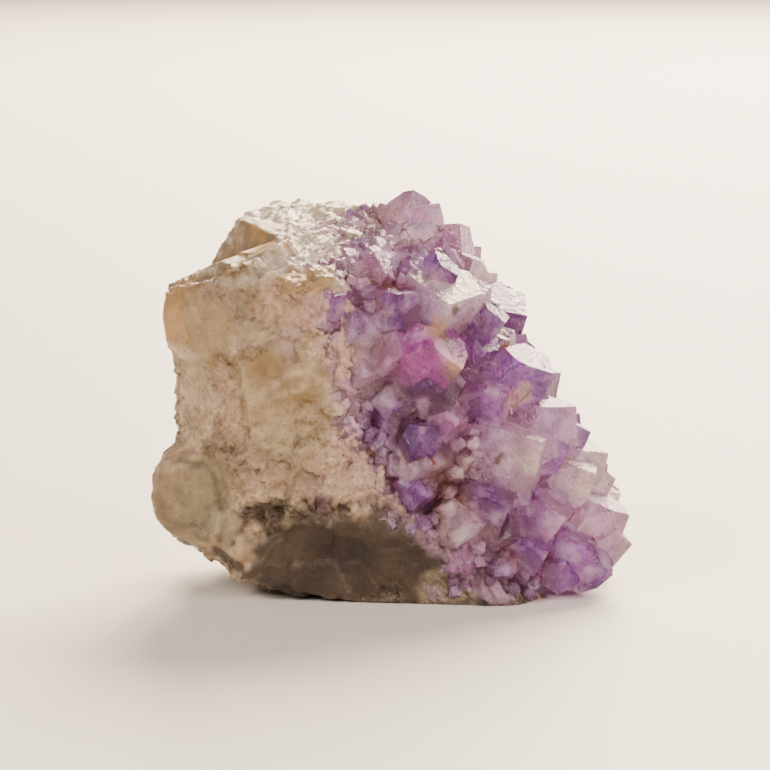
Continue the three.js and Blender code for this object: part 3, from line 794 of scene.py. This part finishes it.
def crystalTint(mesh, crystals, planes):
    # colour at each corner: its crystal's own hue, and milk and tan low between the crystals
    middles = np.empty(len(mesh.polygons) * 3)
    mesh.polygons.foreach_get("center", middles)
    owner = nearestCrystal(middles.reshape(-1, 3) / mm - toMiddle, crystals, planes)
    sizes = np.empty(len(mesh.polygons), int)
    mesh.polygons.foreach_get("loop_total", sizes)
    seats = np.empty(len(mesh.loops), int)
    mesh.loops.foreach_get("vertex_index", seats)
    hues = np.array([c["hue"] for c in crystals] + [linear(tones["milk"])])
    hue = hues[np.repeat(owner, sizes)]
    p = pointsOf(mesh)
    milk = np.tile(linear(tones["milk"]), (len(p), 1))
    base = toward(milk, tones["tan"], rise(layered(p, size=7, salt=80), -0.1, 0.5))
    low = druse["baseShows"] * (1 - rise(outsideRock(p), *druse["baseOver"]))
    return hue + (base[seats] - hue) * low[seats, None]


def makeCrystals():
    # crystals as blocks within planes, joined in one flat-shaded mesh, with worn edges
    crystals = placeCrystals()
    planes = [crystalPlanes(c, i) for i, c in enumerate(crystals)]
    mesh = joinedMesh([cornersOf(n, d) for n, d in planes], apartFrom(crystals))
    mesh.name = "amethystCrystals"
    piece = bpy.data.objects.new("amethystCrystals", mesh)
    bpy.context.collection.objects.link(piece)
    p = pointsOf(mesh)
    p[:, 2] = np.maximum(p[:, 2], druse["standsOff"])
    movePoints(mesh, p)
    print("crystals joined", len(mesh.polygons))
    storeColour(mesh, "tint", crystalTint(mesh, crystals, planes), "CORNER")
    mesh.polygons.foreach_set("use_smooth", np.zeros(len(mesh.polygons), bool))
    mesh.update()
    worn = piece.modifiers.new("worn edges", "BEVEL")
    worn.width = druse["worn"] * mm
    worn.segments = 1
    worn.angle_limit = np.radians(druse["wornFrom"])
    spots = [((seenAt(place, planes) + toMiddle) * mm, size * mm, hue) for place, size, hue in stains]
    mesh.materials.clear()
    mesh.materials.append(amethystMaterial(spots))
    return piece


# Materials

# numbers of the sockets of a Mix node that mixes colours
mixShare, mixFrom, mixTo, mixed = 0, 6, 7, 2


def addNode(tree, kind, inputs=None, output=0, **settings):
    # adds a node with its settings, sets or links its inputs, and gives back one of its outputs
    node = tree.nodes.new("ShaderNode" + kind)
    for name, value in settings.items():
        setattr(node, name, value)
    for place, value in (inputs or {}).items():
        if isinstance(value, bpy.types.NodeSocket):
            tree.links.new(value, node.inputs[place])
        else:
            node.inputs[place].default_value = value
    return node.outputs[output]


def newMaterial(name):
    # an empty material and its node tree
    material = bpy.data.materials.new(name)
    material.use_nodes = True
    material.node_tree.nodes.clear()
    return material, material.node_tree


def perMm(size):
    # scale of a texture for a pattern of that size in mm, on coordinates in metres
    return 1 / (size * mm)


def outputOf(tree, surface, volume=None):
    # ends the tree with its surface, and with what fills the piece
    node = tree.nodes.new("ShaderNodeOutputMaterial")
    tree.links.new(surface, node.inputs["Surface"])
    if volume:
        tree.links.new(volume, node.inputs["Volume"])


def paint(hexColour):
    # sRGB hex as a colour socket's value
    return (*linear(hexColour), 1)


chalcedony = {
    "cloud": 2, "fleck": 0.4, "grain": 0.6,  # sizes in mm
    "lighter": (1.3, 1.28, 1.24), "darker": (0.62, 0.57, 0.5),
    "grainColour": "#8f7f6b", "fleckColour": "#57422f", "grainShows": 0.3, "fleckShows": 0.6,
    "roughSugary": 0.3, "roughWaxy": 0.38, "ior": 1.54,
    "grainOnWax": 0.06,  # share of the grains' slopes on a waxy break
    "grainSlope": 1.3, "cloudHigh": 0.4, "fleckHigh": 0.12,  # the last two in mm
    "glow": 0.15, "glowFar": 1.6,  # light spreads this many mm under the face
}


def chalcedonyMaterial():
    # chalcedony and quartz, broken: a dull wax sheen on smooth breaks, glinting sugar grains between them
    material, tree = newMaterial("brokenChalcedony")
    place = addNode(tree, "TexCoord", output="Object")
    tint = addNode(tree, "Attribute", output="Color", attribute_name="tint")
    waxy = addNode(tree, "Attribute", output="Fac", attribute_name="waxy")
    cloud = addNode(tree, "TexNoise", {"Vector": place, "Scale": perMm(chalcedony["cloud"]), "Detail": 8.0,
                                       "Roughness": 0.68})
    fine = addNode(tree, "TexNoise", {"Vector": place, "Scale": perMm(chalcedony["fleck"]), "Detail": 3.0})
    grain = addNode(tree, "TexVoronoi", {"Vector": place, "Scale": perMm(chalcedony["grain"])}, "Position")
    own = grain.node.outputs["Color"]
    # each grain is a small slope of its own
    away = addNode(tree, "VectorMath", {0: place, 1: grain}, operation="SUBTRACT")
    tilt = addNode(tree, "VectorMath", {0: own, 1: (0.5, 0.5, 0.5)}, operation="SUBTRACT")
    facet = addNode(tree, "VectorMath", {0: away, 1: tilt}, "Value", operation="DOT_PRODUCT")
    sugary = addNode(tree, "MapRange", {"Value": waxy, "To Min": 1.0, "To Max": chalcedony["grainOnWax"]})
    facet = addNode(tree, "Math", {0: facet, 1: sugary}, operation="MULTIPLY")
    mottle = addNode(tree, "MapRange", {"Value": cloud, "From Min": 0.3, "From Max": 0.7})
    light = addNode(tree, "VectorMath", {0: tint, 1: chalcedony["lighter"]}, operation="MULTIPLY")
    dark = addNode(tree, "VectorMath", {0: tint, 1: chalcedony["darker"]}, operation="MULTIPLY")
    grainy = addNode(tree, "Math", {0: own, 1: sugary}, operation="MULTIPLY")
    grainy = addNode(tree, "MapRange", {"Value": grainy, "From Min": 0.3, "From Max": 0.9,
                                        "To Max": chalcedony["grainShows"]})
    fleck = addNode(tree, "MapRange", {"Value": fine, "From Min": 0.62, "From Max": 0.7,
                                       "To Max": chalcedony["fleckShows"]})
    colour = dark
    for shows, over in [(mottle, light), (grainy, paint(chalcedony["grainColour"])),
                        (fleck, paint(chalcedony["fleckColour"]))]:
        colour = addNode(tree, "Mix", {mixShare: shows, mixFrom: colour, mixTo: over}, mixed,
                         data_type="RGBA")
    roughness = addNode(tree, "MapRange", {"Value": waxy, "To Min": chalcedony["roughSugary"],
                                           "To Max": chalcedony["roughWaxy"]})
    bumped = addNode(tree, "Bump", {"Strength": 1.0, "Distance": chalcedony["grainSlope"], "Height": facet})
    for strength, high, pattern in [(0.8, "cloudHigh", cloud), (0.6, "fleckHigh", fine)]:
        bumped = addNode(tree, "Bump", {"Strength": strength, "Distance": chalcedony[high] * mm,
                                        "Height": pattern, "Normal": bumped})
    shader = addNode(tree, "BsdfPrincipled", {
        "Base Color": colour, "Roughness": roughness, "Normal": bumped, "IOR": chalcedony["ior"],
        "Subsurface Weight": chalcedony["glow"], "Subsurface Radius": (1.0, 0.8, 0.6),
        "Subsurface Scale": chalcedony["glowFar"] * mm,
    })
    outputOf(tree, shader)
    return material


amethyst = {
    # sizes in mm with detail: zones of colour, milky veils, hillocks on the faces, fine etching
    "patterns": [(6, 2.0), (3, 5.0), (1.1, 2.0), (0.35, 3.0)],
    "grit": 1.3, "stainEdge": 1.6, "stainWanders": 2.5,  # mm
    "zoneColour": "#8b45b0", "veilColour": "#ead9dd", "gritColour": "#5f4033",
    # where in a pattern each starts and ends, and its share there
    "zoneShows": (0.48, 0.62, 0.0, 0.6), "veilShows": (0.5, 0.7, 0.0, 0.45),
    "gritShows": (0.1, 0.2, 0.7, 0.0), "stainShows": (0.6, 1.3, 0.85, 0.0),
    "lightGoesIn": (0.4, 0.7, 0.8, 0.4), "roughness": (0.4, 0.6, 0.14, 0.4), "ior": 1.544,
    "hillockHigh": 0.4, "fineHigh": 0.18,  # mm
    "fill": "#b945e2", "fillDensity": 32.0,  # what the inside absorbs, to the metre
}


def amethystMaterial(spots):
    # amethyst, grown: faces that shine like glass over a purple inside, clear to milky, that light passes
    material, tree = newMaterial("grownAmethyst")
    place = addNode(tree, "TexCoord", output="Object")
    tint = addNode(tree, "Attribute", output="Color", attribute_name="tint")
    zone, veil, hillock, fine = [
        addNode(tree, "TexNoise", {"Vector": place, "Scale": perMm(size), "Detail": detail})
        for size, detail in amethyst["patterns"]]
    grit = addNode(tree, "TexVoronoi", {"Vector": place, "Scale": perMm(amethyst["grit"])})
    here = addNode(tree, "Math", {0: grit.node.outputs["Color"], 1: 0.5}, operation="GREATER_THAN")
    # stains between the crystals: distances from their places, pushed about by noise, over their sizes
    wander = amethyst["stainWanders"] * mm
    ragged = addNode(tree, "TexNoise", {"Vector": place, "Scale": perMm(amethyst["stainEdge"]),
                                        "Detail": 3.0}, "Color")
    warped = addNode(tree, "VectorMath", {0: ragged, 1: (wander, wander, wander), 2: place},
                     operation="MULTIPLY_ADD")
    spread = [(zone, "zoneShows", 1), (veil, "veilShows", 1), (grit, "gritShows", 1),
              (veil, "lightGoesIn", 1), (veil, "roughness", 1)]
    for at, size, hue in spots:
        away = addNode(tree, "VectorMath", {0: warped, 1: at + 0.5 * wander}, "Value", operation="DISTANCE")
        spread.append((away, "stainShows", size))
    shown = []
    for pattern, name, size in spread:
        start, end, first, last = amethyst[name]
        shown.append(addNode(tree, "MapRange", {"Value": pattern, "From Min": start * size,
                                                "From Max": end * size, "To Min": first, "To Max": last}))
    deeper, milky, gritty, clear, roughness, *stained = shown
    gritty = addNode(tree, "Math", {0: gritty, 1: here}, operation="MULTIPLY")
    colour = tint
    for shows, hue in [(deeper, amethyst["zoneColour"]), (milky, amethyst["veilColour"]),
                       (gritty, amethyst["gritColour"]), *zip(stained, [hue for _, _, hue in spots])]:
        colour = addNode(tree, "Mix", {mixShare: shows, mixFrom: colour, mixTo: paint(hue)}, mixed,
                         data_type="RGBA")
    bumped = addNode(tree, "Bump", {"Strength": 1.0, "Distance": amethyst["hillockHigh"] * mm,
                                    "Height": hillock})
    bumped = addNode(tree, "Bump", {"Strength": 0.8, "Distance": amethyst["fineHigh"] * mm, "Height": fine,
                                    "Normal": bumped})
    shader = addNode(tree, "BsdfPrincipled", {
        "Base Color": colour, "Roughness": roughness, "Normal": bumped, "IOR": amethyst["ior"],
        "Transmission Weight": clear,
    })
    absorbed = addNode(tree, "VolumeAbsorption", {"Color": paint(amethyst["fill"]),
                                                  "Density": amethyst["fillDensity"]})
    outputOf(tree, shader, absorbed)
    return material


# Stage

stage = {
    "floor": "#e3e0da", "sky": "#dfe3ea", "skyStrength": 0.24,
    "floorSize": 6, "floorRoughness": 0.6,  # metres across
    "lampsFace": (0, 0, 25),  # mm
    # place and size in mm, watts and colour: the key and a low one from behind, and two softer from the front
    "lights": [((525, 1050, 945), 910, 98, "#ffe8cc"), ((105, 1505, 700), 525, 30, "#ffe4c4"),
               ((-1050, -910, 1050), 700, 28, "#fff0e0"), ((1050, -770, 700), 700, 20, "#ffe8da")],
}


def makeStage():
    # a pale floor, an even sky, and square lamps that face the specimen from well beyond the view
    bpy.ops.mesh.primitive_plane_add(size=stage["floorSize"])
    floor = bpy.context.object
    floor.name = "floor"
    material, tree = newMaterial("paleFloor")
    outputOf(tree, addNode(tree, "BsdfPrincipled", {"Base Color": paint(stage["floor"]),
                                                    "Roughness": stage["floorRoughness"]}))
    floor.data.materials.append(material)
    world = bpy.data.worlds.new("studio")
    bpy.context.scene.world = world
    world.use_nodes = True
    background = world.node_tree.nodes["Background"]
    background.inputs["Color"].default_value = paint(stage["sky"])
    background.inputs["Strength"].default_value = stage["skyStrength"]
    for number, (place, size, watts, colour) in enumerate(stage["lights"]):
        data = bpy.data.lights.new(f"light{number}", "AREA")
        data.size = size * mm
        data.energy = watts
        data.color = linear(colour)
        lamp = bpy.data.objects.new(f"light{number}", data)
        bpy.context.collection.objects.link(lamp)
        lamp.location = np.array(place) * mm
        ahead = Vector(stage["lampsFace"]) * mm - lamp.location
        lamp.rotation_euler = ahead.to_track_quat("-Z", "Y").to_euler()


makeStage()
print("stage made")

matrix = makeMatrix()
matrix.data.materials.append(chalcedonyMaterial())
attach(matrix, "root")
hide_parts("chalcedony_matrix")
print("rock made")

crystals = makeCrystals()
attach(crystals, "root")
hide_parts("amethyst_druse")
print("crystals made")
